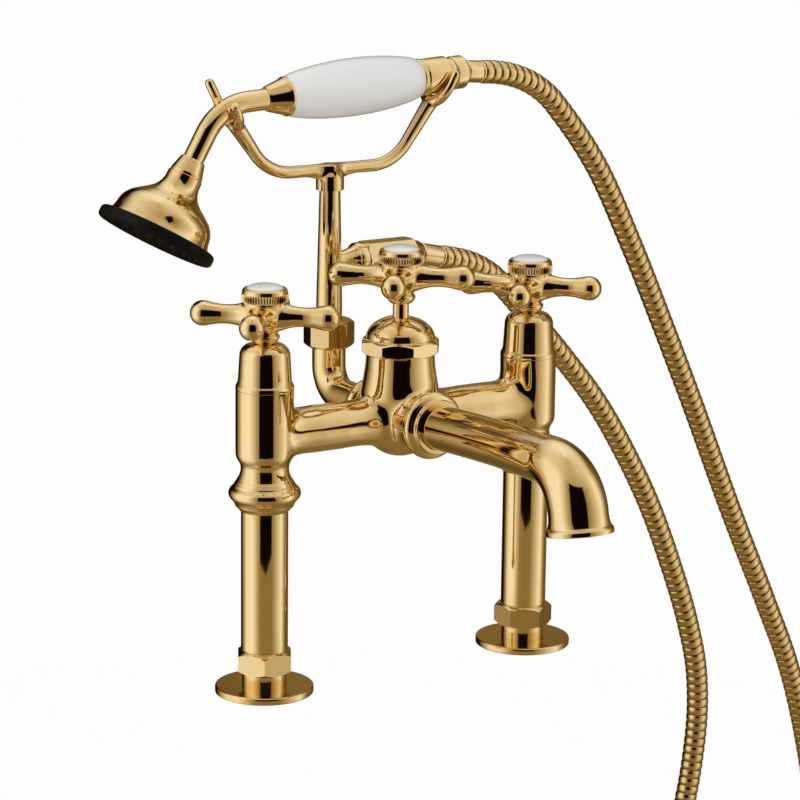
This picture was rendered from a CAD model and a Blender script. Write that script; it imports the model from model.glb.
import math

import bmesh
import bpy
from mathutils import Matrix, Vector


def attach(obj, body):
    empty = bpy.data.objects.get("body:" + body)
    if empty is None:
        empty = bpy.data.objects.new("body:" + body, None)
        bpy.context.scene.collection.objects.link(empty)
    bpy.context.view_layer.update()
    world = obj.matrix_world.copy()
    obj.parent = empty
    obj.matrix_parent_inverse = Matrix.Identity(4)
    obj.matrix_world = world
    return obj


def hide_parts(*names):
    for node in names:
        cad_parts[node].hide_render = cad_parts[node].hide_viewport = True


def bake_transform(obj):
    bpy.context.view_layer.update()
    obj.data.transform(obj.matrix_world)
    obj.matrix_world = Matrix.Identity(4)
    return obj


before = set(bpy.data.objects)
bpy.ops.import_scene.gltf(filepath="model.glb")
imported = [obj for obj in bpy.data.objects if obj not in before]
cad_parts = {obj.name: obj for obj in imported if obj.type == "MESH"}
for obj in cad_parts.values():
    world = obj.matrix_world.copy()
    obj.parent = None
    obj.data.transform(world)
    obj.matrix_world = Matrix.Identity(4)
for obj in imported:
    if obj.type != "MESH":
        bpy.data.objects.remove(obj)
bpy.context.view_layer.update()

# Sizes in millimetres; heights are above the deck
MM = 0.001
SIDE_X = 90.0
RISER_Y = 78.0
Z_NUT = 12.4
Z_COLLAR = 107.0
Z_BODY = 126.4
BRIDGE_Z = 150.0
SPOUT_Z = 152.0
SEAM_Z = 174.2
CENTRE_Z = 189.0
Z_RISER_NUT = 177.0
Z_OUTLET = 227.5
Z_CRADLE = 271.5
Z_BAR = 283.5
HANDSET_Z = 330.0
# Radii of the side bodies, the bridge arms, the rear elbow and the neck of the handset
BODY_R = 16.5
ARM_R = 13.5
ELBOW_R = 10.0
NECK_R = 6.2
# Ends of the two bosses, from the middle of the bridge
FRONT_FACE = 30.0
REAR_FACE = 27.0
# Heights inside a valve, above its seam
JOINT_RISE = 2.4
HUB_FOOT = 28.9
ARM_AXIS = 44.3
HUB_TOP = 51.5
# Holes in the bonnets for a stem, and in the octagon
STEM_BORE = 4.65
OCTAGON_BORE = 12.0
# How far the octagon reaches below the diverter's seam, and how far the diverter's handle is lowered
OCTAGON_DROP = 1.6
DIVERTER_DROP = 0.9
# Tilt of the handset in degrees, and places along it from the riser towards the hose
GRIP_TILT = 3.5
NECK_END = -44.3
GRIP_FRONT = -30.0
GRIP_BACK = 59.5
UPPER_NUT = 83.9
UPPER_MOUTH = 93.9
# Bend of the neck: its radius, its degrees, the length before it, and the length from its end to the rose
NECK_BEND = 34.0
NECK_ANGLE = 56.5
NECK_STRAIGHT = 12.0
BELL_REACH = 64.8
# Places along the hose outlet, from the riser axis
LOWER_NUT = 23.0
LOWER_MOUTH = 63.0
# Hose nuts' hole, and at each end the hose's droop in degrees, its sleeve and its start past the nut
HOSE_NUT_BORE = 6.1
LOWER_DROOP = 12.0
LOWER_SLEEVE = 16.5
LOWER_HOSE_START = 16.55
UPPER_DROOP = 8.0
UPPER_SLEEVE = 12.5
UPPER_HOSE_START = 12.8
# Hose: diameter, length in metres and number of ribs
HOSE_RIBS = 273


def at(x, y, z):
    return Matrix.Translation((x, y, z))


def turn(angle, axis):
    return Matrix.Rotation(math.radians(angle), 4, axis)


def along_grip(u):
    return at(0, RISER_Y, HANDSET_Z) @ turn(-GRIP_TILT, "Y") @ at(u, 0, 0) @ turn(90, "Y")


def neck_bend(angle):
    """Point of the neck's axis at an angle round its bend, in the neck's own frame."""
    a = math.radians(angle)
    return Vector((NECK_BEND * (1 - math.cos(a)), 0, NECK_STRAIGHT + NECK_BEND * math.sin(a)))


HOT_LEG = at(-SIDE_X, 0, 0)
COLD_LEG = at(SIDE_X, 0, 0)
HOT = at(-SIDE_X, 0, SEAM_Z)
COLD = at(SIDE_X, 0, SEAM_Z)
DIVERTER = at(0, 0, CENTRE_Z)
BRIDGE = at(0, 0, BRIDGE_Z)
FRONT = at(0, 0, SPOUT_Z) @ turn(90, "X")
REAR = BRIDGE @ turn(-90, "X")
RISER = at(0, RISER_Y, 0)
OUTLET = at(0, RISER_Y, Z_OUTLET) @ turn(90, "Y")
NECK = (at(0, RISER_Y, HANDSET_Z) @ turn(-GRIP_TILT, "Y") @ at(NECK_END, 0, 0)
        @ turn(-90, "Y") @ turn(180, "Z"))
ROSE = (NECK @ at(*neck_bend(NECK_ANGLE)) @ turn(NECK_ANGLE, "Y") @ at(0, 0, BELL_REACH)
        @ turn(180, "X"))


class Wire:
    """A shader socket that does arithmetic by adding nodes to its own tree."""

    def __init__(self, socket):
        self.socket = socket
        self.tree = socket.id_data

    def make(self, kind, settings=None, values=None):
        node = self.tree.nodes.new(kind)
        for key, value in (settings or {}).items():
            setattr(node, key, value)
        for key, value in (values or {}).items():
            if isinstance(value, Wire):
                self.tree.links.new(value.socket, node.inputs[key])
            else:
                node.inputs[key].default_value = value
        return node

    def maths(self, operation, first, second, held=False):
        settings = {"operation": operation, "use_clamp": held}
        return Wire(self.make("ShaderNodeMath", settings, {0: first, 1: second}).outputs[0])

    def __add__(self, other):
        return self.maths("ADD", self, other)

    def __sub__(self, other):
        return self.maths("SUBTRACT", self, other)

    def __rsub__(self, other):
        return self.maths("SUBTRACT", other, self)

    def __mul__(self, other):
        return self.maths("MULTIPLY", self, other)

    def held(self):
        """This value kept between 0 and 1."""
        return self.maths("ADD", self, 0.0, held=True)

    def away_from(self, middle):
        """How far this value is from middle, on either side."""
        return self.maths("ABSOLUTE", self - middle, 0.0)

    def noise(self, scale, detail):
        values = {"Vector": self, "Scale": scale, "Detail": detail}
        return Wire(self.make("ShaderNodeTexNoise", {}, values).outputs[0])

    def between(self, first, second):
        """Colour mixed from first to second by this value."""
        values = {0: self, 6: first, 7: second}
        return Wire(self.make("ShaderNodeMix", {"data_type": "RGBA"}, values).outputs[2])

    def glowing(self, colour):
        """Emission of a colour at full strength."""
        values = {"Color": colour, "Strength": 1.0}
        return Wire(self.make("ShaderNodeEmission", {}, values).outputs[0])

    def seen(self):
        """1 for rays of the camera, of reflections and through clear things, 0 for diffuse light."""
        path = self.make("ShaderNodeLightPath")
        kinds = ("Is Camera Ray", "Is Glossy Ray", "Is Transmission Ray")
        first, second, third = (Wire(path.outputs[kind]) for kind in kinds)
        return first + second + third


def new_material(name):
    """Material with its Principled node, and a wire of its Object coordinates."""
    material = bpy.data.materials.new(name)
    material.use_nodes = True
    shader = material.node_tree.nodes["Principled BSDF"]
    coords = material.node_tree.nodes.new("ShaderNodeTexCoord")
    return material, shader, Wire(coords.outputs["Object"])


def feed(shader, **inputs):
    """Set or link the named inputs of a Principled node."""
    for key, value in inputs.items():
        socket = shader.inputs[key.replace("_", " ")]
        if isinstance(value, Wire):
            value.tree.links.new(value.socket, socket)
        else:
            socket.default_value = value


def show_surface(material, wire):
    """Make a wire the surface of a material, in place of its Principled node."""
    output = material.node_tree.nodes["Material Output"]
    material.node_tree.links.new(wire.socket, output.inputs["Surface"])


def bumped(height, strength, distance):
    values = {"Strength": strength, "Distance": distance, "Height": height}
    return Wire(height.make("ShaderNodeBump", {}, values).outputs[0])


GROOVE_TONE = (0.09, 0.055, 0.015, 1.0)
GROOVE_ROUGHER = 0.25


def gold(name, bright, deep, smooth, rough, groove=False):
    """Polished gold with faint cloudiness in its tone and in its polish."""
    material, shader, place = new_material(name)
    tone = place.noise(scale=22.0, detail=3.0).between(bright, deep)
    polish = place.noise(scale=60.0, detail=4.0) * (rough - smooth) + smooth
    if groove:
        mark = place.make("ShaderNodeAttribute", {"attribute_name": "groove"})
        worn = Wire(mark.outputs["Fac"])
        tone = worn.between(tone, GROOVE_TONE)
        polish = polish + worn * GROOVE_ROUGHER
    feed(shader, Base_Color=tone, Roughness=polish, Metallic=1.0)
    return material


def porcelain(name, light, dark):
    """White glaze with a clear coat."""
    material, shader, place = new_material(name)
    tone = place.noise(scale=30.0, detail=2.0).between(light, dark)
    polish = place.noise(scale=80.0, detail=3.0) * 0.06 + 0.06
    feed(shader, Base_Color=tone, Roughness=polish, Coat_Weight=0.4, Coat_Roughness=0.04)
    return material


def dull(name, light, dark, rough, scale, depth, shine=0.25):
    """Plain material with a fine grain: rubber, fibre or fired ceramic."""
    material, shader, place = new_material(name)
    grain = place.noise(scale, detail=4.0)
    feed(shader, Base_Color=grain.between(light, dark), Roughness=grain * 0.15 + rough,
         Normal=bumped(grain, 0.25, depth), Specular_IOR_Level=shine)
    return material


FINISH = {
    "polished_gold": gold("polished gold", (0.95, 0.76, 0.44, 1), (0.92, 0.71, 0.385, 1),
                          smooth=0.03, rough=0.075),
    "satin_gold": gold("satin gold", (0.92, 0.72, 0.40, 1), (0.86, 0.65, 0.33, 1),
                       smooth=0.06, rough=0.15),
    "hose_gold": gold("hose gold", (0.84, 0.64, 0.33, 1), (0.77, 0.56, 0.27, 1),
                      smooth=0.08, rough=0.17, groove=True),
    "plain_brass": gold("plain brass", (0.70, 0.52, 0.24, 1), (0.60, 0.43, 0.18, 1),
                        smooth=0.25, rough=0.45),
    "porcelain": porcelain("porcelain", (0.86, 0.86, 0.855, 1), (0.82, 0.82, 0.81, 1)),
    "disc_ceramic": dull("disc ceramic", (0.72, 0.70, 0.66, 1), (0.62, 0.60, 0.56, 1),
                         rough=0.3, scale=300.0, depth=0.00002),
    "rose_rubber": dull("rose rubber", (0.008, 0.008, 0.009, 1), (0.003, 0.003, 0.004, 1),
                        rough=0.3, scale=700.0, depth=0.00003, shine=0.07),
    "seal_rubber": dull("seal rubber", (0.03, 0.03, 0.03, 1), (0.015, 0.015, 0.015, 1),
                        rough=0.5, scale=500.0, depth=0.00003),
    "fibre": dull("fibre", (0.36, 0.07, 0.05, 1), (0.24, 0.04, 0.03, 1),
                  rough=0.7, scale=900.0, depth=0.00004),
}


def softened(points):
    """Outline in which a corner with a third number is rounded over that length of its sides."""
    steps = 5
    line = []
    last = len(points) - 1
    for i, point in enumerate(points):
        here = Vector(point[:2])
        if len(point) == 2 or i in (0, last):
            line.append(tuple(here))
            continue
        back = Vector(points[i - 1][:2]) - here
        on = Vector(points[i + 1][:2]) - here
        first = here + back.normalized() * min(point[2], back.length * 0.5)
        second = here + on.normalized() * min(point[2], on.length * 0.5)
        for k in range(steps + 1):
            t = k / steps
            line.append(tuple(first * (1 - t) ** 2 + here * (2 * t * (1 - t)) + second * t * t))
    return line


def arc(x, y, radius, start, end, steps):
    turns = [math.radians(start + (end - start) * i / steps) for i in range(steps + 1)]
    return [(x + radius * math.cos(a), y + radius * math.sin(a)) for a in turns]


def flowing(points, steps=6):
    """Smooth curve through points in any number of dimensions, as a list of Vectors."""
    knots = [Vector(p) for p in points]
    last = len(knots) - 1
    chords = [b - a for a, b in zip(knots, knots[1:])]
    slopes = [chords[0].normalized()]
    for before, after in zip(chords, chords[1:]):
        a, b = before.length, after.length
        slopes.append((before.normalized() * b + after.normalized() * a) / (a + b))
    slopes.append(chords[-1].normalized())
    line = []
    for i in range(last):
        for k in range(steps):
            t = k / steps
            s = t * t * (3 - 2 * t)
            lean = (slopes[i] * (1 - t) - slopes[i + 1] * t) * (t * (1 - t) * chords[i].length)
            line.append(knots[i] * (1 - s) + knots[i + 1] * s + lean)
    return line + [knots[last]]


def rise(value, low, high):
    """0 below low, 1 above high and a straight line between."""
    return min(max((value - low) / (high - low), 0.0), 1.0)


def fall(value, low, high):
    """1 below low, 0 above high and a straight line between."""
    return 1 - rise(value, low, high)


def tidied(bm):
    bmesh.ops.remove_doubles(bm, verts=bm.verts, dist=0.0005)
    bmesh.ops.recalc_face_normals(bm, faces=bm.faces)
    return bm


def turned(outline, segments=128):
    """Spin an outline of (radius, height) points round Z."""
    bm = bmesh.new()
    verts = [bm.verts.new((p[0], 0.0, p[1])) for p in outline]
    edges = [bm.edges.new(pair) for pair in zip(verts, verts[1:])]
    bmesh.ops.spin(bm, geom=verts + edges, cent=(0, 0, 0), axis=(0, 0, 1), dvec=(0, 0, 0),
                   angle=math.tau, steps=segments, use_merge=True)
    return tidied(bm)


def ring(outer, inner, low, high, soft=0.3):
    return turned(softened([(inner, low), (outer, low, soft), (outer, high, soft), (inner, high),
                            (inner, low)]))


def sweep(stations, sides, side):
    """Carry a circle by extrusion through stations of (point, direction, radius), and close its ends."""
    def frame_of(point, direction, radius):
        along = Vector(direction).normalized()
        across = along.cross(side).normalized()
        axes = Matrix((across, along.cross(across), along)).transposed().to_4x4()
        return Matrix.Translation(point) @ axes @ Matrix.Scale(radius, 4)

    bm = bmesh.new()
    rim = bmesh.ops.create_circle(bm, cap_ends=True, segments=sides, radius=1.0)["verts"]
    before = frame_of(*stations[0])
    bmesh.ops.transform(bm, matrix=before, verts=rim)
    edges = list(bm.edges)
    for entry in stations[1:]:
        grown = bmesh.ops.extrude_edge_only(bm, edges=edges)["geom"]
        fresh = {g for g in grown if isinstance(g, bmesh.types.BMVert)}
        edges = [g for g in grown if isinstance(g, bmesh.types.BMEdge) and set(g.verts) <= fresh]
        after = frame_of(*entry)
        bmesh.ops.transform(bm, matrix=after @ before.inverted(), verts=list(fresh))
        before = after
    bmesh.ops.contextual_create(bm, geom=edges)
    return tidied(bm)


def on_path(points, radii, sides, side=Vector((0, 1, 0))):
    """Tube through points, each ring set across the path there."""
    line = [Vector(p) for p in points]
    last = len(line) - 1
    stations = []
    for i, point in enumerate(line):
        stations.append((point, line[min(i + 1, last)] - line[max(i - 1, 0)], radii[i]))
    return sweep(stations, sides, side)


def moved(bm, matrix):
    bm.transform(matrix)
    return bm


def joined(*parts):
    """One bmesh that holds all the parts."""
    mesh = bpy.data.meshes.new("joined")
    whole = bmesh.new()
    for part in parts:
        part.to_mesh(mesh)
        part.free()
        whole.from_mesh(mesh)
    bpy.data.meshes.remove(mesh)
    return whole


def shown_as(name, data):
    """New object of the scene for a mesh, a curve or a lamp."""
    obj = bpy.data.objects.new(name, data)
    bpy.context.scene.collection.objects.link(obj)
    return obj


def scratch(bm):
    """Object for a bmesh that a modifier is to work on."""
    mesh = bpy.data.meshes.new("scratch")
    bm.to_mesh(mesh)
    bm.free()
    return shown_as("scratch", mesh)


def harvest(obj, *others):
    """Bmesh of an object as its modifiers leave it; the scratch objects go."""
    graph = bpy.context.evaluated_depsgraph_get()
    mesh = bpy.data.meshes.new_from_object(obj.evaluated_get(graph))
    bm = bmesh.new()
    bm.from_mesh(mesh)
    bpy.data.meshes.remove(mesh)
    for spent in (obj, *others):
        data = spent.data
        bpy.data.objects.remove(spent)
        if isinstance(data, bpy.types.Mesh):
            bpy.data.meshes.remove(data)
        else:
            bpy.data.curves.remove(data)
    return bm


def relaxed(bm, passes, weight=None):
    """Smooth a mesh all over, or as far as a weight from 0 to 1 says at each place."""
    obj = scratch(bm)
    relax = obj.modifiers.new("relax", "SMOOTH")
    relax.factor = 0.5
    relax.iterations = passes
    if weight:
        group = obj.vertex_groups.new(name="fillets")
        for vert in obj.data.vertices:
            amount = weight(vert.co)
            if amount > 0:
                group.add([vert.index], amount, "REPLACE")
        relax.vertex_group = group.name
    return harvest(obj)


def fused(bm, voxel, passes, fillet_passes, weight):
    """Overlapping solids grown into one casting, with soft fillets where a weight says."""
    obj = scratch(bm)
    remesh = obj.modifiers.new("fuse", "REMESH")
    remesh.mode = "VOXEL"
    remesh.voxel_size = voxel
    return relaxed(relaxed(harvest(obj), fillet_passes, weight), passes)


def sliced(bm, point, normal, inside=lambda co: True):
    """Cut away what lies beyond a plane, in the part of the mesh that inside picks, and close the cut."""
    geom = [part for part in (*bm.faces, *bm.edges) if all(inside(v.co) for v in part.verts)]
    geom += [v for v in bm.verts if inside(v.co)]
    cut = bmesh.ops.bisect_plane(bm, geom=geom, plane_co=point, plane_no=normal, clear_outer=True)
    rim = [e for e in cut["geom_cut"] if isinstance(e, bmesh.types.BMEdge)]
    bmesh.ops.edgeloop_fill(bm, edges=rim)
    return bm


def carved(blank, cutter):
    """What two solids have in common, with its edges eased."""
    obj = scratch(blank)
    tool = scratch(cutter)
    common = obj.modifiers.new("common", "BOOLEAN")
    common.operation = "INTERSECT"
    common.solver = "EXACT"
    common.object = tool
    ease = obj.modifiers.new("ease", "BEVEL")
    ease.width = 0.25
    ease.segments = 3
    ease.limit_method = "ANGLE"
    ease.angle_limit = math.radians(20)
    return harvest(obj, tool)


def nut(sides, flats, height, low, high, bore):
    """Nut on Z = 0 with its corners turned off to a cone at each end, and a hole."""
    corner = flats / 2 / math.cos(math.pi / sides)
    blank = bmesh.new()
    bmesh.ops.create_cone(blank, cap_ends=True, segments=sides, radius1=corner, radius2=corner,
                          depth=height)
    blank.transform(at(0, 0, height / 2) @ turn(-90, "Z"))
    slope = 0.75
    outline = [(bore, -1), (corner - low - 1 / slope, -1), (corner + 1, (low + 1) * slope),
               (corner + 1, height - (high + 1) * slope), (corner - high - 1 / slope, height + 1),
               (bore, height + 1), (bore, -1)]
    return carved(blank, turned(outline, 192))


def piece(name, bm, body, nodes, finish, matrix=None, sharp=38):
    """Finish a bmesh as a piece of the object that rides on a body and stands for CAD nodes."""
    tidied(bm)
    bm.transform(Matrix.Scale(MM, 4) @ (matrix or Matrix.Identity(4)))
    limit = math.radians(sharp)
    for face in bm.faces:
        face.smooth = True
    for edge in bm.edges:
        edge.smooth = edge.calc_face_angle(0.0) < limit
    mesh = bpy.data.meshes.new(name)
    bm.to_mesh(mesh)
    bm.free()
    mesh.materials.append(FINISH[finish])
    obj = shown_as(name, mesh)
    if body:
        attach(obj, body)
    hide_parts(*nodes)
    return obj


# Camera, with its place in metres and its angles in degrees
CAMERA_PLACE = (-0.9350, -1.4373, 0.5573)
CAMERA_AZIMUTH = -33.05
CAMERA_ELEVATION = 13.05
CAMERA_ROLL = 0.68
azimuth, elevation, roll = (math.radians(a) for a in (CAMERA_AZIMUTH, CAMERA_ELEVATION, CAMERA_ROLL))
right = Vector((math.cos(azimuth), math.sin(azimuth), 0))
forward = Vector((-math.sin(azimuth) * math.cos(elevation), math.cos(azimuth) * math.cos(elevation),
                  -math.sin(elevation)))
up = right.cross(forward)
tilted_right = right * math.cos(roll) + up * math.sin(roll)
tilted_up = up * math.cos(roll) - right * math.sin(roll)
camera = shown_as("camera", bpy.data.cameras.new("camera"))
camera.matrix_world = (Matrix.Translation(CAMERA_PLACE)
                       @ Matrix((tilted_right, tilted_up, -forward)).transposed().to_4x4())
camera.data.sensor_width = 36.0
camera.data.lens = 137.6
camera.data.clip_end = 100.0
bpy.context.scene.camera = camera


# Hose
def heading(angle):
    return Vector((math.cos(math.radians(angle)), 0, math.sin(math.radians(angle))))


lower_way = heading(-LOWER_DROOP)
upper_way = heading(GRIP_TILT - UPPER_DROOP)
hose_start = Vector((LOWER_MOUTH, RISER_Y, Z_OUTLET)) + LOWER_HOSE_START * lower_way
hose_finish = along_grip(UPPER_MOUTH).translation + UPPER_HOSE_START * upper_way
# Places (x, z) through which the hose hangs, from the outlet round to the handset
hose_run = [
    (102.7, 217.6), (115.2, 210.6), (126, 201.2), (140, 186.7), (170, 154.5), (200, 119), (222, 86),
    (243, 49), (262, 7), (280, -41), (287.5, -70), (290, -100), (287, -138), (275, -194),
    (265, -229), (261, -266), (271, -304), (298, -331), (334, -341), (370, -331), (397, -304),
    (407, -266), (404, -226), (394, -174), (366, -79), (345, -34), (312, 34), (276, 112),
    (249, 168), (222, 222), (192, 275), (167.4, 305.8), (157, 316.8), (144.5, 325.4), (130.6, 331.1),
]
hose_line = flowing([hose_start, hose_start + 10 * lower_way]
                    + [Vector((x, RISER_Y, z)) for x, z in hose_run]
                    + [hose_finish + 10 * upper_way, hose_finish], 14)


def ribbed_hose(line, ribs):
    """One turned rib, repeated end to end and laid along a line."""
    length = sum((b - a).length for a, b in zip(line, line[1:]))
    pitch = length / ribs
    outline = [(6.55, 0), (6.95, 0.08), (7.12, 0.24), (7.2, 0.45), (7.19, 0.62), (7.1, 0.82),
               (6.9, 0.94), (6.55, 1)]
    rib = bmesh.new()
    mark = rib.verts.layers.float.new("groove")
    verts = [rib.verts.new((t * pitch, r, 0)) for r, t in outline]
    for vert in (verts[0], verts[-1]):
        vert[mark] = 1.0
    edges = [rib.edges.new(pair) for pair in zip(verts, verts[1:])]
    bmesh.ops.spin(rib, geom=verts + edges, cent=(0, 0, 0), axis=(1, 0, 0), dvec=(0, 0, 0),
                   angle=math.tau, steps=36, use_merge=True)
    obj = scratch(tidied(rib))
    curve = bpy.data.curves.new("hose line", "CURVE")
    curve.dimensions = "3D"
    spline = curve.splines.new("POLY")
    spline.points.add(len(line) - 1)
    for knot, place in zip(spline.points, line):
        knot.co = (*place, 1.0)
    guide = shown_as("hose guide", curve)
    repeat = obj.modifiers.new("ribs", "ARRAY")
    repeat.count = ribs
    repeat.use_relative_offset = False
    repeat.use_constant_offset = True
    repeat.constant_offset_displace = (pitch, 0, 0)
    repeat.use_merge_vertices = True
    repeat.merge_threshold = 0.01
    bend = obj.modifiers.new("lay", "CURVE")
    bend.object = guide
    bend.deform_axis = "POS_X"
    return harvest(obj, guide)


hose = piece("ribbed_hose", ribbed_hose(hose_line, HOSE_RIBS), None, ["hose"], "hose_gold", sharp=60)
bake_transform(hose)
[p * MM for p in hose_line[::4]] + [hose_finish * MM]


# Legs
def leg_collar():
    bore, height = 13.5, 19.4
    foot = softened([(bore, 0), (14.1, 0, 0.3), (15.1, 1.2, 0.5), (16.65, 2.8, 0.6), (16.95, 3.8, 0.3),
                     (17.55, 4.8)])
    bead = arc(16.3, 10, 4.2, -60, 60, 20)
    shoulder = softened([(17.4, 15.0), (17.3, 15.4, 0.2), (17.0, 15.7)])
    trumpet = flowing([(17.0, 15.7), (16.1, 17.2), (15.3, 18.4), (14.8, height)])
    return turned(foot + bead + shoulder + trumpet[1:] + [(bore, height), (bore, 0)])


def leg_tube():
    return turned(softened([(9, 20.9), (12.7, 20.9), (12.7, 22.4), (11.5, 22.4), (11.5, 25.4),
                            (13.4, 25.4, 0.3), (13.4, Z_BODY, 0.3), (11.5, Z_BODY), (11.5, 132.9),
                            (9, 132.9), (9, 20.9)]))


def flange():
    bore, radius, thick = 12.8, 28.2, 4
    return turned(softened([(bore, 0), (radius, 0, 0.5), (radius, thick, 1.2), (bore, thick), (bore, 0)]))


def leg_nut():
    return nut(sides=6, flats=30, height=13, low=2.2, high=3.6, bore=11.7)


for side, place, spin in (("hot", HOT_LEG, 0), ("cold", COLD_LEG, 30)):
    piece(side + "_cover_flange", flange(), "mixer", [side + "_flange"], "satin_gold", place)
    piece(side + "_inlet_tail", ring(12.7, 8.5, 0, 19.4), "mixer", [side + "_tail"], "satin_gold",
          place)
    piece(side + "_union_nut", leg_nut(), "mixer", [side + "_leg_nut"], "satin_gold",
          place @ at(0, 0, Z_NUT) @ turn(spin, "Z"))
    piece(side + "_leg_tube", leg_tube(), "mixer", [side + "_leg"], "polished_gold", place)
    piece(side + "_beaded_collar", leg_collar(), "mixer", [side + "_collar"], "polished_gold",
          place @ at(0, 0, Z_COLLAR))


# Cast body
def chamber():
    foot, top = -3, 52
    skirt = flowing([(15.9, foot), (14.8, 0), (13.9, 2.4), (13.5, 5.2), (13.8, 7.2), (14.8, 9),
                     (15.8, 10.6), (16.4, 12.6), (BODY_R, 15)])
    return turned([(0, foot)] + skirt + [(BODY_R, top), (0, top)])


def bowl():
    radius, top = 23.0, 43
    drum = flowing([(radius, 0), (23.2, 8), (22.9, 15), (21.9, 21), (20.8, 27), (20.0, 33), (19.8, top)])
    return turned([(0, -radius)] + arc(0, 0, radius, -84, 0, 24) + drum[1:] + [(0, top)])


def flare(foot, tube, length):
    """Trumpet that narrows from its foot to a tube."""
    steps = 12
    line = [(0, 0)]
    for i in range(steps + 1):
        a = math.pi / 2 * i / steps
        line.append((tube + (foot - tube) * (1 - math.sin(a)), length * (1 - math.cos(a))))
    return turned(line + [(0, length)])


def rod(radius, length):
    return turned([(0, 0), (radius, 0), (radius, length), (0, length)])


def casting_fillets(co):
    """Weight of the smoothing where the arms and bosses run into the bodies."""
    across = abs(co.x)
    middle = fall(across, 30, 42) * fall(co.z, 178, 186) * fall(co.y, 20, 26) * rise(co.y, -29, -23)
    sides = rise(across, 58, 68) * fall(across, 80, 86) * rise(co.z, 128, 134) * fall(co.z, 168, 173)
    return middle + 0.8 * sides


def beside(hand):
    """Test that picks the side body on one hand."""
    return lambda co: co.x * hand > 60


def amid(co):
    """Test that picks the middle of the bridge."""
    return abs(co.x) < 40


# The bosses are made longer by this much and then cut to their faces
SPARE = 5
casting = [moved(bowl(), BRIDGE),
           moved(rod(ARM_R, 2 * SIDE_X), at(-SIDE_X, 0, BRIDGE_Z) @ turn(90, "Y")),
           moved(rod(15.5, FRONT_FACE + SPARE), FRONT),
           moved(rod(13, REAR_FACE + SPARE), REAR)]
for hand in (-1, 1):
    casting.append(moved(chamber(), at(hand * SIDE_X, 0, Z_BODY)))
    casting.append(moved(flare(16.3, ARM_R, 24), at(hand * SIDE_X, 0, BRIDGE_Z) @ turn(-90 * hand, "Y")))
    casting.append(moved(flare(21, ARM_R, 38), BRIDGE @ turn(90 * hand, "Y")))
body = fused(joined(*casting), voxel=0.8, passes=10, fillet_passes=190, weight=casting_fillets)
for hand in (-1, 1):
    sliced(body, (0, 0, SEAM_Z + JOINT_RISE), (0, 0, 1), beside(hand))
    sliced(body, (0, 0, Z_BODY), (0, 0, -1), beside(hand))
sliced(body, (0, 0, CENTRE_Z - OCTAGON_DROP), (0, 0, 1), amid)
sliced(body, (0, -FRONT_FACE, 0), (0, -1, 0), amid)
sliced(body, (0, REAR_FACE, 0), (0, 1, 0), amid)
piece("bridge_casting", body, "mixer", ["mixer_body"], "polished_gold")


# Bonnets
def side_bonnet():
    bore = 11.6
    foot = softened([(bore, JOINT_RISE), (BODY_R, JOINT_RISE, 0.35), (BODY_R, 4.6, 1.0),
                     (15.3, 6.4, 1.2), (15.05, 8.6, 1.2), (14.3, 21.6)])
    crown = arc(7.3, 21.6, 7, 4, 90, 18)
    return turned(foot + crown + [(STEM_BORE, 28.6), (STEM_BORE, 23), (bore, 20), (bore, JOINT_RISE)])


def dome():
    radius, foot, top, end, steps = 19.8, 7.8, 20, 75, 24
    swell = (top - foot) / math.sin(math.radians(end))
    crown = []
    for i in range(steps + 1):
        a = math.radians(end * i / steps)
        crown.append((radius * math.cos(a), foot + swell * math.sin(a)))
    return turned([(OCTAGON_BORE, 0)] + crown + [(STEM_BORE, top), (STEM_BORE, 12), (OCTAGON_BORE, 0)])


for side, place in (("hot", HOT), ("cold", COLD)):
    piece(side + "_bonnet_cap", side_bonnet(), "mixer", [side + "_bonnet"], "polished_gold", place)
octagon = moved(nut(sides=8, flats=43.4, height=9.6, low=3.2, high=3.2, bore=OCTAGON_BORE),
                at(0, 0, -OCTAGON_DROP) @ turn(30.8, "Z"))
piece("octagon_bonnet", joined(octagon, dome()), "mixer", ["diverter_bonnet"], "polished_gold",
      DIVERTER)


# Cross handles
def hub_fillets(co):
    """Weight of the smoothing where the arms of a handle run into its hub."""
    out = co.xy.length
    return rise(co.z, HUB_FOOT + 4, HUB_FOOT + 7) * rise(out, 5, 8) * fall(out, 16, 24)


def cross():
    """Hub and four arms as one casting, with a crisp bead at its foot."""
    foot, spare_top, root, bore = HUB_FOOT, HUB_TOP + 3, 8.6, 4.7
    shaft = flowing([(root, 6), (8.2, 9), (7.2, 12), (6.3, 15), (5.7, 18.5), (5.45, 22), (5.6, 26),
                     (6.4, 30.5), (7.1, 34)])
    arm = [(0, 0), (root, 0)] + shaft + arc(0, 35.4, 7.2, 2, 90, 16)
    hub = turned([(0, foot + 1), (6.6, foot + 1), (6.8, foot + 5), (7.6, foot + 6.6), (9.4, foot + 8.8),
                  (11.2, ARM_AXIS - 4), (11.9, ARM_AXIS), (11.9, spare_top), (0, spare_top)])
    middle = at(0, 0, ARM_AXIS)
    arms = [moved(turned(arm, 64), middle @ turn(90 * i, "Z") @ turn(90, "Y")) for i in range(4)]
    solid = fused(joined(hub, *arms), voxel=0.4, passes=14, fillet_passes=60, weight=hub_fillets)
    sliced(solid, (0, 0, HUB_TOP), (0, 0, 1))
    sliced(solid, (0, 0, foot + 3.4), (0, 0, -1))
    bead = turned(softened([(bore, foot), (5.9, foot, 0.3), (7.7, foot + 1.7, 0.9), (8.3, foot + 3, 0.6),
                            (8.3, foot + 4.4, 0.6), (7.1, foot + 5.3, 0.4), (bore, foot + 5.3),
                            (bore, foot)]))
    return joined(solid, bead)


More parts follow.
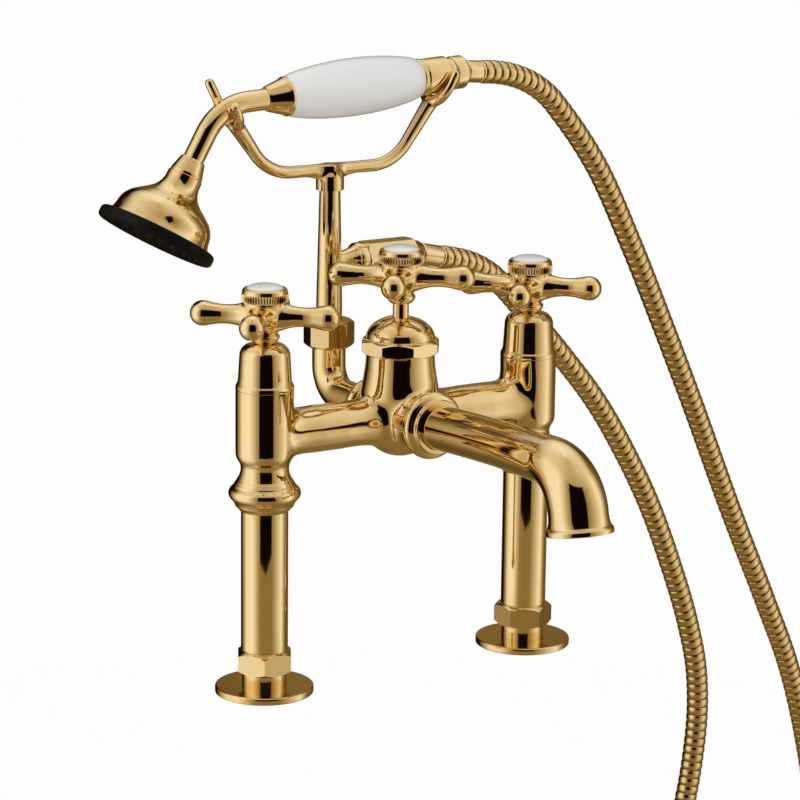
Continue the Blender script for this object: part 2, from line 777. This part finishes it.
def index_ring():
    """Ring with a plain lip, a fluted band and a rounded shoulder over the disc."""
    bore, band_foot, band, flutes, depth = 10.1, 12.5, 12.65, 52, 0.7
    lip = softened([(bore, 0), (12.15, 0, 0.2), (12.15, 0.8, 0.2), (12.4, 1.0)])
    fluted = [(band, height) for height in (1.3, 2.4, 3.8, 5.1)]
    shoulder = softened([(12.35, 5.6), (12.35, 6.0, 0.2), (12.2, 7.6, 1.0), (11.2, 8.6, 0.7),
                         (bore, 8.6)])
    bm = turned(lip + fluted + shoulder + [(bore, 0)], flutes * 8)
    for vert in bm.verts:
        radius = vert.co.xy.length
        if radius > band_foot:
            wave = 0.5 - 0.5 * math.cos(flutes * math.atan2(vert.co.y, vert.co.x))
            vert.co.xy *= 1 - depth * wave / radius
    return bm


def index_disc():
    radius, edge, swell = 10, 8.2, 2.8
    turns = [math.radians(a) for a in range(6, 91, 6)]
    top = [(radius * math.cos(a), edge + swell * math.sin(a)) for a in turns]
    return turned([(0, 0), (radius, 0), (radius, edge)] + top)


def spindle():
    return turned(softened([(0, -23.9), (9, -23.9), (9, -19.9), (4.6, -19.9), (4.6, 31.9), (3, 31.9),
                            (3, HUB_TOP), (0, HUB_TOP)]))


# Width of the rings and discs against their outlines, and each valve's place and turn of its handle
CROWN_WIDTH = 1.04
VALVES = [("hot", HOT, 48), ("cold", COLD, 45), ("diverter", DIVERTER @ at(0, 0, -DIVERTER_DROP), 50)]
for valve, place, spin in VALVES:
    rider = valve + "_valve"
    crown = place @ at(0, 0, HUB_TOP) @ Matrix.Diagonal((CROWN_WIDTH, CROWN_WIDTH, 1, 1))
    piece(valve + "_cross", cross(), rider, [valve + "_handle"], "polished_gold",
          place @ turn(spin, "Z"))
    piece(valve + "_fluted_ring", index_ring(), rider, [valve + "_index_ring"], "polished_gold", crown)
    piece(valve + "_disc", index_disc(), rider, [valve + "_index"], "porcelain", crown)
    piece(valve + "_stem", spindle(), rider, [valve + "_spindle"], "polished_gold", place)


# Spout and rear elbow
def union_collar(reach, sleeve, thread, tube):
    bead, length, seat = 4.2, 12, 9.8
    neck_ring = softened([(sleeve + 1.4, 2 * bead), (sleeve, 2 * bead + 0.7, 0.5), (sleeve, length, 0.9),
                          (tube, length)])
    return turned([(thread, 0)] + arc(reach - bead, bead, bead, -88, 88, 26) + neck_ring
                  + [(tube, seat), (thread, seat), (thread, 0)])


def spout():
    """Tube that rises a little, bends down and opens into a lipped mouth."""
    tail, reach, drop, lift = 38.2, 177, 29.5, 4.2
    bend, angle, steps = 28.0, math.radians(80), 28
    tail_r, bend_r, mouth_r = 12.8, 13.6, 16.2
    mouth = (drop + lift - bend * (1 - math.cos(angle))) / math.sin(angle)
    corner = reach - bend * math.sin(angle) - mouth * math.cos(angle)
    stations = []
    for i in range(steps):
        t = i / steps
        point = Vector((0, -tail - (corner - tail) * t, SPOUT_Z + lift * t * (2 - t)))
        stations.append((point, (0, -1, 0), tail_r + (bend_r - tail_r) * rise(t, 0.6, 1)))
    for i in range(steps + 1):
        a = angle * i / steps
        point = Vector((0, -corner - bend * math.sin(a), SPOUT_Z + lift - bend * (1 - math.cos(a))))
        radius = bend_r + (mouth_r - bend_r) * math.sin(math.pi / 2 * i / steps)
        stations.append((point, (0, -math.cos(a), -math.sin(a)), radius))
    down = Vector((0, -math.cos(angle), -math.sin(angle)))
    elbow = stations[-1][0]
    lip = flowing([(mouth_r, 0), (16.3, 0.2), (17.0, 0.55), (18.2, 0.74), (18.5, 0.83), (18.5, 0.92),
                   (18.0, 0.99)], 5)
    inside = [(17.4, 1.0), (13.4, 1.0), (13.0, 0.97), (13.0, 0.3)]
    for radius, t in lip[1:] + inside:
        stations.append((elbow + down * (mouth * t), down, radius))
    return sweep(stations, 72, Vector((1, 0, 0)))


def rear_elbow():
    bend, steps = 17, 24
    line = [(0, 35.2, BRIDGE_Z), (0, 50, BRIDGE_Z)]
    for i in range(steps + 1):
        a = math.pi / 2 * i / steps
        line.append((0, RISER_Y - bend * (1 - math.sin(a)), BRIDGE_Z + bend * (1 - math.cos(a))))
    line += [(0, RISER_Y, BRIDGE_Z + bend + 2), (0, RISER_Y, 187)]
    return on_path(line, [ELBOW_R] * len(line), 64, Vector((1, 0, 0)))


piece("spout_collar_ring", union_collar(reach=19.5, sleeve=15.6, thread=13.7, tube=12.9), "mixer",
      ["spout_collar"], "polished_gold", FRONT @ at(0, 0, FRONT_FACE))
piece("swan_spout", spout(), "mixer", ["spout"], "polished_gold")
piece("rear_collar_ring", union_collar(reach=17, sleeve=13.0, thread=11.6, tube=10.3), "mixer",
      ["rear_collar"], "polished_gold", REAR @ at(0, 0, REAR_FACE))
piece("riser_elbow", rear_elbow(), "mixer", ["rear_elbow"], "polished_gold")


# Riser and cradle
def riser():
    post = turned(softened([(0, 188.5), (11.5, 188.5), (11.5, 190.5), (7.7, 190.5), (7.7, 205.5, 4),
                            (6.2, Z_CRADLE), (4.9, Z_CRADLE), (4.9, 280), (0, 280)]))
    stub = turned(softened([(0, 0), (6.3, 0), (6.3, 9, 2), (7.7, 14, 1.2), (9.0, 16.4, 0.8),
                            (10.3, 17.6, 0.8), (10.6, 19, 0.5), (10.6, 22.5, 0.4), (8, 22.5), (8, 38),
                            (0, 38)]))
    return joined(moved(post, RISER), moved(stub, OUTLET))


piece("riser_nut_octagon", nut(sides=8, flats=28, height=16.5, low=3.2, high=2.2, bore=7.8), "mixer",
      ["riser_nut"], "polished_gold", RISER @ at(0, 0, Z_RISER_NUT) @ turn(13, "Z"))
piece("riser_post", riser(), "mixer", ["riser"], "polished_gold")

# Bar of the cradle, and how much its arms grow towards the forks
BAR_R = 3.7
ARM_GROWTH = 1.1
# Prongs: radius for placing them, radius before smoothing, extra at the seat, splay, lean in degrees
PRONG = 2.6
PRONG_THICK = 2.9
SWELL = 0.9
SPLAY = 1.2
LEAN = 25
# Where the forks hold the handset: degrees round the neck's bend, place along the ferrule, its radius
NECK_HOLD = 22
FERRULE_HOLD = 18.5
FERRULE_R = 10.85
# Play of the handset, and further room for it all round a fork and at its seat
PLAY = 0.3
ROOM = 0.2
SEAT_ROOM = 0.3
neck_point = NECK @ neck_bend(NECK_HOLD)
ferrule_point = along_grip(GRIP_BACK + FERRULE_HOLD).translation
front_lean = heading(90 + LEAN)
rear_lean = heading(90 - LEAN)
front_hold = NECK_R + PLAY + PRONG
rear_hold = FERRULE_R + PLAY + PRONG
front_seat = neck_point - front_lean * (front_hold / math.cos(math.radians(LEAN - NECK_HOLD - GRIP_TILT)))
rear_seat = ferrule_point - rear_lean * (rear_hold / math.cos(math.radians(LEAN + GRIP_TILT)))


def fork(point, seat, lean, hold, front_reach, rear_reach):
    """Two prongs and the seat between them, round the point that they hold."""
    out = Vector((0, 1, 0))

    def prong(hand, reach):
        return [point + out * (hand * (hold + SPLAY * t * t)) + lean * (t * reach)
                for t in (1.02, 1, 0.85, 0.4)]

    ends = [PRONG_THICK * 0.5, PRONG_THICK * 0.85, PRONG_THICK, PRONG_THICK]
    seat_line = []
    seat_radii = []
    for i in range(-18, 19):
        a = math.radians(5 * i)
        spoke = (seat - point) * math.cos(a) + out * (hold * math.sin(a))
        middle = math.cos(a) ** 2
        seat_line.append(point + spoke + spoke.normalized() * (ROOM + (SWELL + SEAT_ROOM) * middle))
        seat_radii.append(PRONG_THICK + SWELL * middle)
    line = prong(-1, front_reach) + seat_line + prong(1, rear_reach)[::-1]
    return on_path(line, ends + seat_radii + ends[::-1], 32, Vector((1, 0, 0)))


def cradle_arm(seat):
    """Half of the bar, bent up and run to a seat."""
    hand = math.copysign(1, seat.x)
    bend, slope, bend_steps, steps = 30, math.radians(54), 16, 6
    last = (seat.z - Z_BAR - bend * (1 - math.cos(slope))) / math.sin(slope)
    half = abs(seat.x) - bend * math.sin(slope) - last * math.cos(slope)
    line = [Vector((0, RISER_Y, Z_BAR)), Vector((hand * half * 0.9, RISER_Y, Z_BAR))]
    for i in range(bend_steps + 1):
        a = slope * i / bend_steps
        line.append(Vector((hand * (half + bend * math.sin(a)), RISER_Y, Z_BAR + bend * (1 - math.cos(a)))))
    foot = line[-1]
    radii = [BAR_R] * len(line)
    for i in range(1, steps + 1):
        line.append(foot.lerp(seat, i / steps))
        radii.append(BAR_R + ARM_GROWTH * i / steps)
    return on_path(line, radii, 48)


def bar_fillet(hand):
    """Flare of the socket into one side of the bar, kept below the bar's top."""
    flat = Matrix.Diagonal((1, 0.6, 1, 1))
    cone = moved(flare(14, 3.6, 22), RISER @ at(0, 0, Z_BAR) @ flat @ turn(90 * hand, "Y"))
    return sliced(cone, (0, 0, Z_BAR + 3.4), (0, 0, 1))


def cradle_fillets(co):
    """Weight of the smoothing round the socket, and where the arms run into the forks."""
    return fall(abs(co.x), 18, 24) * rise(co.z, 273, 276) + 0.7 * rise(co.z, 302, 310)


socket = turned([(0, -3), (8.2, -3), (8.4, 6.4), (7.8, 8.6), (5.6, 12), (3.4, 13.6), (0, 14)])
cradle_parts = [
    moved(socket, RISER @ at(0, 0, Z_CRADLE)), bar_fillet(-1), bar_fillet(1),
    cradle_arm(front_seat), cradle_arm(rear_seat),
    fork(neck_point, front_seat, front_lean, front_hold, front_reach=4, rear_reach=17.5),
    fork(ferrule_point, rear_seat, rear_lean, rear_hold, front_reach=4, rear_reach=4),
]
cradle = fused(joined(*cradle_parts), voxel=0.4, passes=14, fillet_passes=60, weight=cradle_fillets)
sliced(cradle, (0, 0, Z_CRADLE), (0, 0, -1))
piece("fork_cradle", cradle, "mixer", ["cradle"], "polished_gold")


# Ends of the hose
def hose_sleeve(length):
    bore, foot = 4, 0.4
    return turned(softened([(bore, foot), (6.3, foot), (6.7, 1.4, 0.4), (6.7, length - 2, 0.3),
                            (6.1, length - 1.6, 0.2), (6.7, length - 1.2, 0.3), (6.7, length, 0.3),
                            (bore, length), (bore, foot)]))


def lower_nut():
    bore = HOSE_NUT_BORE
    hexagon = nut(sides=6, flats=20.4, height=34, low=1.6, high=1.6, bore=bore)
    cone = turned(softened([(bore, 33), (9.6, 33), (9.6, 34.2, 0.5), (7.7, 40, 0.6), (bore, 40),
                            (bore, 33)]))
    return joined(hexagon, cone)


def upper_nut():
    bore = HOSE_NUT_BORE
    return turned(softened([(bore, 0), (9.4, 0), (10, 0.6, 0.3), (10, 7.6, 0.5), (8, 9.4, 0.5), (7.6, 10),
                            (bore, 10), (bore, 0)]))


piece("lower_hose_nut", lower_nut(), "mixer", ["lower_hose_nut"], "polished_gold",
      OUTLET @ at(0, 0, LOWER_NUT) @ turn(30, "Z"))
piece("lower_hose_sleeve", hose_sleeve(LOWER_SLEEVE), "mixer", ["lower_ferrule"], "polished_gold",
      OUTLET @ at(0, 0, LOWER_MOUTH) @ turn(LOWER_DROOP, "Y"))
piece("upper_hose_sleeve", hose_sleeve(UPPER_SLEEVE), "handset", ["upper_ferrule"], "polished_gold",
      along_grip(UPPER_MOUTH) @ turn(UPPER_DROOP, "Y"))
piece("upper_hose_nut", upper_nut(), "handset", ["upper_hose_nut"], "polished_gold",
      along_grip(UPPER_NUT))


# Hand shower
def bell():
    rim, foot, bore = 30.5, 3.5, 6.3
    skirt = flowing([(rim, foot), (29.5, 6.1), (27.7, 13.5), (25.1, 17.5), (20.3, 21.5), (16.2, 24.5),
                     (13.1, 27.5), (11.0, 31.5), (10.3, 38.1)])
    sleeve = softened([(9.7, 38.5), (9.7, 39.9, 0.4), (7.5, 47.7, 0.6), (7.1, 48.5), (bore, 48.5)])
    return turned(skirt + sleeve + [(bore, 30), (25, 12), (28.9, foot), (rim, foot)])


def rose():
    """Rubber plate with three circles of nozzles."""
    plate = turned([(0, -2.7), (29.5, -2.7)] + arc(33.3, -1.3, 2.2, -100, 0, 8)
                   + arc(33.3, 1.3, 2.2, 0, 90, 8) + [(0, 3.5)])
    parts = [plate]
    for circle in range(1, 4):
        for i in range(6 * circle):
            nozzle = turned([(0, -4.1), (0.5, -4.1), (0.8, -3.8), (1.1, -2.4), (0, -2.4)], 12)
            parts.append(moved(nozzle, turn(60 * i / circle, "Z") @ at(8 * circle, 0, 0)))
    return joined(*parts)


def neck():
    steps = 24
    line = [Vector((0, 0, -6)), Vector((0, 0, NECK_STRAIGHT - 4))]
    line += [neck_bend(NECK_ANGLE * i / steps) for i in range(steps + 1)]
    end = line[-1]
    way = Vector((math.sin(math.radians(NECK_ANGLE)), 0, math.cos(math.radians(NECK_ANGLE))))
    line += [end + way * 8, end + way * 26]
    return on_path(line, [NECK_R] * len(line), 64)


def grip():
    bore, end_r, swell, steps = 5.1, 11.3, 5.7, 40
    length = GRIP_BACK - GRIP_FRONT
    line = [(bore, 0)]
    for i in range(steps + 1):
        t = i / steps
        line.append((end_r + swell * max(0.0, math.sin(math.pi * t)) ** 0.65, length * t))
    return turned(line + [(bore, length), (bore, 0)])


def front_ferrule():
    return turned(softened([(6.3, 0), (6.8, 0), (7.4, 0.8, 0.3), (7.8, 2, 0.8), (10.8, 11.7, 0.8),
                            (11.6, 12.7, 0.4), (11.6, 14.3, 0.3), (5.1, 14.3), (5.1, 6.4), (6.3, 6.4),
                            (6.3, 0)]))


def rear_ferrule():
    return turned(softened([(5.1, 0), (11.05, 0), (11.35, 0.8, 0.3), (11.35, 2, 0.3), (10.35, 2.6, 0.3),
                            (10.35, 3.6, 0.3), (FERRULE_R, 4.2, 0.4), (FERRULE_R, 19.9, 0.4),
                            (9.75, 20.7, 0.3), (9.75, 23.9, 0.3), (7.5, 23.9), (7.5, 28.9), (3.5, 28.9),
                            (3.5, 6.2), (5.1, 6.2), (5.1, 0)]))


piece("shower_bell", bell(), "handset", ["bell"], "polished_gold", ROSE)
piece("shower_rose", rose(), "handset", ["rose"], "rose_rubber", ROSE)
piece("handset_neck", neck(), "handset", ["neck"], "polished_gold", NECK)
piece("front_ferrule", front_ferrule(), "handset", ["front_ferrule"], "polished_gold",
      along_grip(NECK_END))
piece("white_grip", grip(), "handset", ["grip"], "porcelain", along_grip(GRIP_FRONT))
piece("rear_ferrule", rear_ferrule(), "handset", ["rear_ferrule"], "polished_gold",
      along_grip(GRIP_BACK))

# Nodes inside the object keep their own shape
INSIDE = {
    "plain_brass": ["hot_cartridge", "cold_cartridge", "diverter_cartridge", "grip_tube"],
    "disc_ceramic": ["fixed_discs", "hot_moving_disc", "cold_moving_disc", "diverter_moving_disc"],
    "seal_rubber": ["seat_seals", "collar_seals", "lower_hose_washer", "upper_hose_washer"],
    "fibre": ["leg_washers", "riser_washer"],
}
for finish, nodes in INSIDE.items():
    for node in nodes:
        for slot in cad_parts[node].material_slots:
            slot.link = "OBJECT"
            slot.material = FINISH[finish]


# Studio, in metres
FLOOR_Z = -0.352
FLOOR_WHITE = 0.93
# Strength of the world for diffuse light; rays that are seen get it at full strength
WORLD_LIGHT = 0.76
# Tones of the studio wall by degrees round the object from the camera's side, to the camera's right
TENT_TONES = [
    (-180, 0.24), (-168, 0.16), (-158, 0.01), (-134, 0.01), (-122, 0.2), (-108, 0.55), (-92, 0.95),
    (-60, 1.0), (-44, 0.74), (-32, 0.46), (-22, 0.3), (0, 0.27), (33, 0.27), (48, 0.46), (68, 0.72),
    (90, 1.0), (104, 0.6), (120, 0.2), (146, 0.08), (178, 0.22),
]
# Sizes of the studio wall, of the dish under it and of the roof over it
TENT_R = 1.2
TENT_LOW = -0.29
TENT_HIGH = 1.3
ROOF_RISE = 0.7
DISH_DEPTH = 0.06
# Middle of the dish: its tone, and the reach and slope with which it passes into the wall's tones
DISH_TONE = 0.24
DISH_REACH = 0.36
DISH_SLOPE = 1.6
# Roof: tones behind the object and on the camera's side, and the height and slope of its start
ROOF_BACK_TONE = 1.0
ROOF_FRONT_TONE = 0.56
ROOF_START = 0.9
ROOF_SLOPE = 1.6
# Dark window in the wall: its middle and half width in turns, and heights between which its foot widens
WINDOW_TONE = 0.004
WINDOW_MIDDLE = 0.5153
WINDOW_HALF = 0.0764
WINDOW_FOOT = -0.274
WINDOW_FULL = -0.236
WINDOW_TOP = 1.17
WINDOW_SIDE_SHARPNESS = 600.0
WINDOW_TOP_SHARPNESS = 60.0


def stage_object(name, bm, material):
    mesh = bpy.data.meshes.new(name)
    bm.to_mesh(mesh)
    bm.free()
    mesh.materials.append(material)
    obj = shown_as(name, mesh)
    return obj


def floor_material():
    """Pale floor that looks white to the camera and in reflections, and still takes a shadow."""
    material, shader, place = new_material("pale floor")
    feed(shader, Base_Color=(0.9, 0.9, 0.9, 1.0), Roughness=0.7)
    values = {0: place.seen() * FLOOR_WHITE, 1: Wire(shader.outputs[0]), 2: place.glowing((1, 1, 1, 1))}
    show_surface(material, Wire(place.make("ShaderNodeMixShader", {}, values).outputs[0]))
    return material


def warm(tone):
    """Colour of a studio surface: white where it is bright, brown where it is dim."""
    return (tone, tone * (0.62 + 0.36 * tone), tone * (0.08 + 0.84 * tone), 1.0)


def tent_material():
    """Studio wall, dish and roof whose tone changes round the object, with a dark window."""
    material, _, place = new_material("studio wall")
    radial = place.make("ShaderNodeTexGradient", {"gradient_type": "RADIAL"}, {"Vector": place})
    turns = Wire(radial.outputs["Fac"])
    ramp = place.make("ShaderNodeValToRGB", {}, {"Fac": turns})
    stops = ramp.color_ramp.elements
    for angle, tone in TENT_TONES[2:]:
        stops.new(0.5 + angle / 360)
    for stop, (angle, tone) in zip(stops, TENT_TONES):
        stop.position = 0.5 + angle / 360
        stop.color = warm(tone)
    height = Wire(place.make("ShaderNodeSeparateXYZ", {}, {0: place}).outputs["Z"])
    length = place.make("ShaderNodeVectorMath", {"operation": "LENGTH"}, {0: place})
    reach = Wire(length.outputs["Value"])
    outer = ((reach - DISH_REACH) * DISH_SLOPE).held()
    lit = outer.between(warm(DISH_TONE), Wire(ramp.outputs["Color"]))
    behind = turns.away_from(0.5) * 2.0
    overhead = ((height - ROOF_START) * ROOF_SLOPE).held()
    lit = overhead.between(lit, behind.between(warm(ROOF_FRONT_TONE), warm(ROOF_BACK_TONE)))
    widening = ((height - WINDOW_FOOT) * (1 / (WINDOW_FULL - WINDOW_FOOT))).held()
    inside = widening * WINDOW_HALF - turns.away_from(WINDOW_MIDDLE)
    below = WINDOW_TOP - height
    dark = (inside * WINDOW_SIDE_SHARPNESS).held() * (below * WINDOW_TOP_SHARPNESS).held()
    show_surface(material, place.glowing(dark.between(lit, warm(WINDOW_TONE))))
    return material


def tent_band(bm, low, high, low_radius, high_radius):
    """Add an open cone between two heights."""
    bmesh.ops.create_cone(bm, cap_ends=False, segments=96, radius1=low_radius, radius2=high_radius,
                          depth=high - low, matrix=at(0, 0, (low + high) / 2))


plane = bmesh.new()
bmesh.ops.create_grid(plane, x_segments=1, y_segments=1, size=30.0, matrix=at(0, 0, FLOOR_Z))
stage_object("floor", plane, floor_material())

dish_z = TENT_LOW - DISH_DEPTH
dish_r = TENT_R - DISH_DEPTH
tube = bmesh.new()
tent_band(tube, TENT_LOW, TENT_HIGH, TENT_R, TENT_R)
tent_band(tube, dish_z, TENT_LOW, dish_r, TENT_R)
bmesh.ops.create_circle(tube, cap_ends=True, segments=96, radius=dish_r, matrix=at(0, 0, dish_z))
tent_band(tube, TENT_HIGH, TENT_HIGH + ROOF_RISE, TENT_R, 0.0)
tent = stage_object("studio_wall", tube, tent_material())
tent.rotation_euler = (0, 0, math.radians(CAMERA_AZIMUTH - 90))
tent.visible_camera = False
tent.visible_diffuse = False
tent.visible_shadow = False

world = bpy.data.worlds.new("studio")
bpy.context.scene.world = world
world.use_nodes = True
backdrop = world.node_tree.nodes["Background"]
level = Wire(backdrop.outputs[0]).seen() * (1 - WORLD_LIGHT) + WORLD_LIGHT
backdrop.inputs["Color"].default_value = (1, 1, 1, 1)
world.node_tree.links.new(level.socket, backdrop.inputs["Strength"])


def softbox(name, place, size, power):
    """Square lamp that faces the middle of the mixer."""
    target = Vector((0, 0.04, 0.2))
    lamp = bpy.data.lights.new(name, "AREA")
    lamp.shape = "SQUARE"
    lamp.size = size
    lamp.energy = power
    obj = shown_as(name, lamp)
    obj.location = place
    obj.rotation_euler = (target - Vector(place)).to_track_quat("-Z", "Y").to_euler()


softbox("left softbox", (-2.2, -0.2, 1.6), size=1.2, power=12.0)
softbox("right softbox", (1.4, -1.9, 1.3), size=0.9, power=3.0)

bpy.context.scene.view_settings.view_transform = "Standard"
